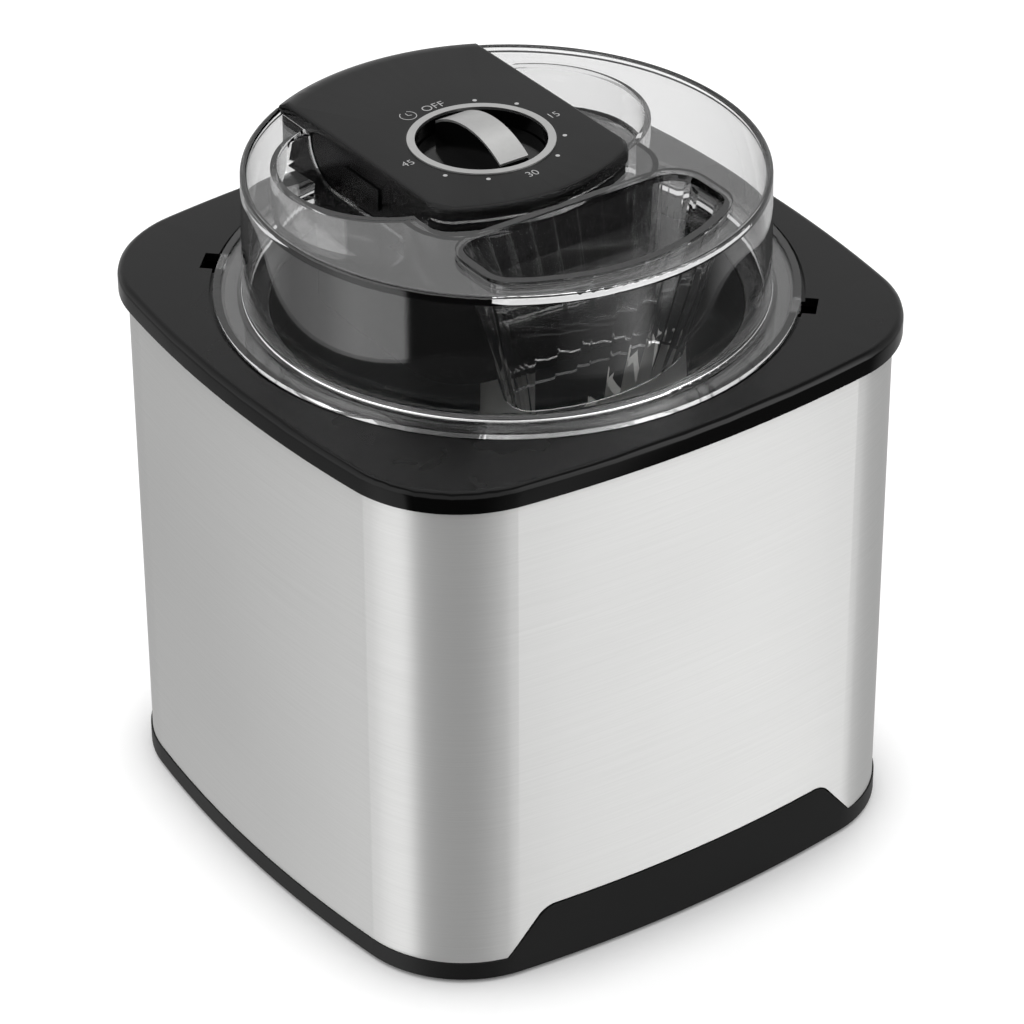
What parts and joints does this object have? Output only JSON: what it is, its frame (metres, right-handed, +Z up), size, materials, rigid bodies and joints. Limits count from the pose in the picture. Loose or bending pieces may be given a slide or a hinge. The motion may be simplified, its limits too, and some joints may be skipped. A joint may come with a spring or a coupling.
{
  "type": "ice cream maker",
  "caption": "Square steel-clad ice cream maker with a lift-out freezer bowl, a turning paddle and a clear lid with a feed chute, which carries a motor unit with a timer knob.",
  "frame": {"origin": "on the table, under the middle of the housing", "axes": "+Z up, the front with the feed chute and the apron faces -Y, +X to the right seen from the front"},
  "size_m": [0.216, 0.216, 0.2421],
  "materials": {
    "black_housing": "injection moulded black ABS, satin with glossy rounded edges",
    "rubber_foot": "matt moulded rubber",
    "steel_screw": "zinc-plated steel",
    "brushed_sleeve": "stainless sheet, brushed along its width",
    "liner_plastic": "moulded polypropylene",
    "bowl_plastic": "moulded polypropylene, pale grey",
    "bowl_metal": "spun aluminium, hard anodised dark grey",
    "coolant": "sealed cooling gel",
    "rim_plastic": "moulded black plastic",
    "paddle_plastic": "moulded white polypropylene",
    "clear_lid": "injection moulded clear polystyrene, polished",
    "unit_plastic": "injection moulded black ABS, satin top and glossy sides",
    "silver_trim": "satin silver plated plastic",
    "timer_case": "phenolic and plastic timer case",
    "motor_case": "plated steel can",
    "plate_steel": "pressed steel plate",
    "pin_steel": "ground steel",
    "bush_bronze": "sintered bronze",
    "terminal_plastic": "moulded nylon",
    "gland_rubber": "moulded rubber",
    "gear_plastic": "moulded acetal"
  },
  "bodies": {
    "housing": {"base": "black_housing", "feet": "rubber_foot", "base_screws": "steel_screw", "steel_sleeve": "brushed_sleeve", "top_cover": "black_housing", "liner": "liner_plastic", "liner_screws": "steel_screw"},
    "freezer_bowl": {"bowl_shell": "bowl_plastic", "bowl_cup": "bowl_metal", "bowl_coolant": "coolant", "bowl_rim": "rim_plastic"},
    "paddle": {"paddle": "paddle_plastic"},
    "lid": {"lid": "clear_lid", "lid_chute": "clear_lid", "lid_pockets": "clear_lid", "lid_skirt": "unit_plastic"},
    "motor_unit": {"unit_shell": "unit_plastic", "unit_base": "unit_plastic", "unit_screws": "steel_screw", "dial_ring": "silver_trim", "timer_module": "timer_case", "motor": "motor_case", "gear_plate": "plate_steel", "gear_pins": "pin_steel", "output_bush": "bush_bronze", "terminal_block": "terminal_plastic", "cord_gland": "gland_rubber"},
    "knob": {"knob": "unit_plastic", "knob_strip": "silver_trim", "timer_shaft": "pin_steel"},
    "latch_left": {"latch_left": "unit_plastic"},
    "latch_right": {"latch_right": "unit_plastic"},
    "motor_pinion": {"motor_pinion": "pin_steel"},
    "gear_first": {"gear_first": "gear_plastic"},
    "gear_second": {"gear_second": "gear_plastic"},
    "output": {"output_gear": "gear_plastic", "output_shaft": "pin_steel"}
  },
  "joints": [
    {"name": "bowl_lift", "type": "slide", "parent": "housing", "child": "freezer_bowl", "axis": [0, 0, 1], "range_m": [0, 0.17]},
    {"name": "paddle_spin", "type": "hinge", "parent": "freezer_bowl", "child": "paddle", "pos_m": [0, 0, 0.05], "axis": [0, 0, 1], "continuous": true},
    {"name": "lid_lift", "type": "slide", "parent": "freezer_bowl", "child": "lid", "axis": [0, 0, 1], "range_m": [0, 0.08]},
    {"name": "unit_lift", "type": "slide", "parent": "lid", "child": "motor_unit", "axis": [0, 0, 1], "range_m": [0, 0.085]},
    {"name": "knob_turn", "type": "hinge", "parent": "motor_unit", "child": "knob", "pos_m": [0, 0.014, 0.23], "axis": [0, 0, -1], "range_deg": [0, 270]},
    {"name": "latch_left_press", "type": "slide", "parent": "motor_unit", "child": "latch_left", "axis": [-1, 0, 0], "range_m": [0, 0.002], "stiffness_N_per_m": 500, "springref_m": 0.002},
    {"name": "latch_right_press", "type": "slide", "parent": "motor_unit", "child": "latch_right", "axis": [1, 0, 0], "range_m": [0, 0.002], "stiffness_N_per_m": 500, "springref_m": 0.002},
    {"name": "output_spin", "type": "hinge", "parent": "motor_unit", "child": "output", "pos_m": [0, 0, 0.1816], "axis": [0, 0, 1], "continuous": true},
    {"name": "gear_second_spin", "type": "hinge", "parent": "motor_unit", "child": "gear_second", "pos_m": [0.01215, 0.01448, 0.184], "axis": [0, 0, 1], "continuous": true},
    {"name": "gear_first_spin", "type": "hinge", "parent": "motor_unit", "child": "gear_first", "pos_m": [-0.00163, 0.01961, 0.188], "axis": [0, 0, 1], "continuous": true},
    {"name": "motor_spin", "type": "hinge", "parent": "motor_unit", "child": "motor_pinion", "pos_m": [0, 0.005, 0.19], "axis": [0, 0, 1], "continuous": true}
  ],
  "couplings": [
    {"joint": "output_spin", "follows": "paddle_spin", "ratio": 1},
    {"joint": "gear_second_spin", "follows": "paddle_spin", "ratio": -3.5},
    {"joint": "gear_first_spin", "follows": "paddle_spin", "ratio": 8.75},
    {"joint": "motor_spin", "follows": "paddle_spin", "ratio": -21.875}
  ]
}
